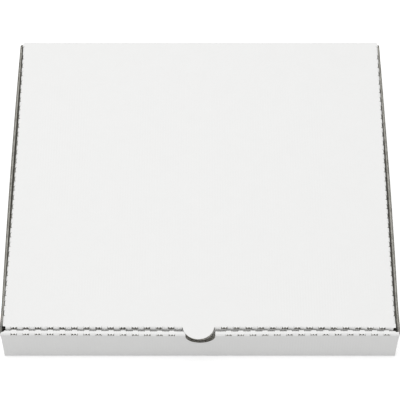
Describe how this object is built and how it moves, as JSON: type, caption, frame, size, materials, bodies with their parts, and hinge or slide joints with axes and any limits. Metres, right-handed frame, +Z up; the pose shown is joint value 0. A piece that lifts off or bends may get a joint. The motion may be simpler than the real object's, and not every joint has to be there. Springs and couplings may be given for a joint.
{
  "type": "pizza box",
  "caption": "Shallow square-cornered folded board box with a lid hinged at the back, a rolled double front wall and a round thumb tab over a notch.",
  "frame": {"origin": "middle of the base panel's underside, on the surface that the box stands on", "axes": "+Z up through the lid, +X to the right seen from the front, front wall and thumb tab at -Y"},
  "size_m": [0.3344, 0.3273, 0.0349],
  "materials": {
    "white_board": "matte",
    "raw_board": "matte"
  },
  "bodies": {
    "tray": {"tray": "white_board"},
    "lid": {"lid": "white_board"}
  },
  "joints": [
    {"name": "lid_hinge", "type": "hinge", "parent": "tray", "child": "lid", "pos_m": [0, 0.16044, 0.03434], "axis": [-1, 0, 0], "range_deg": [0, 180]}
  ]
}
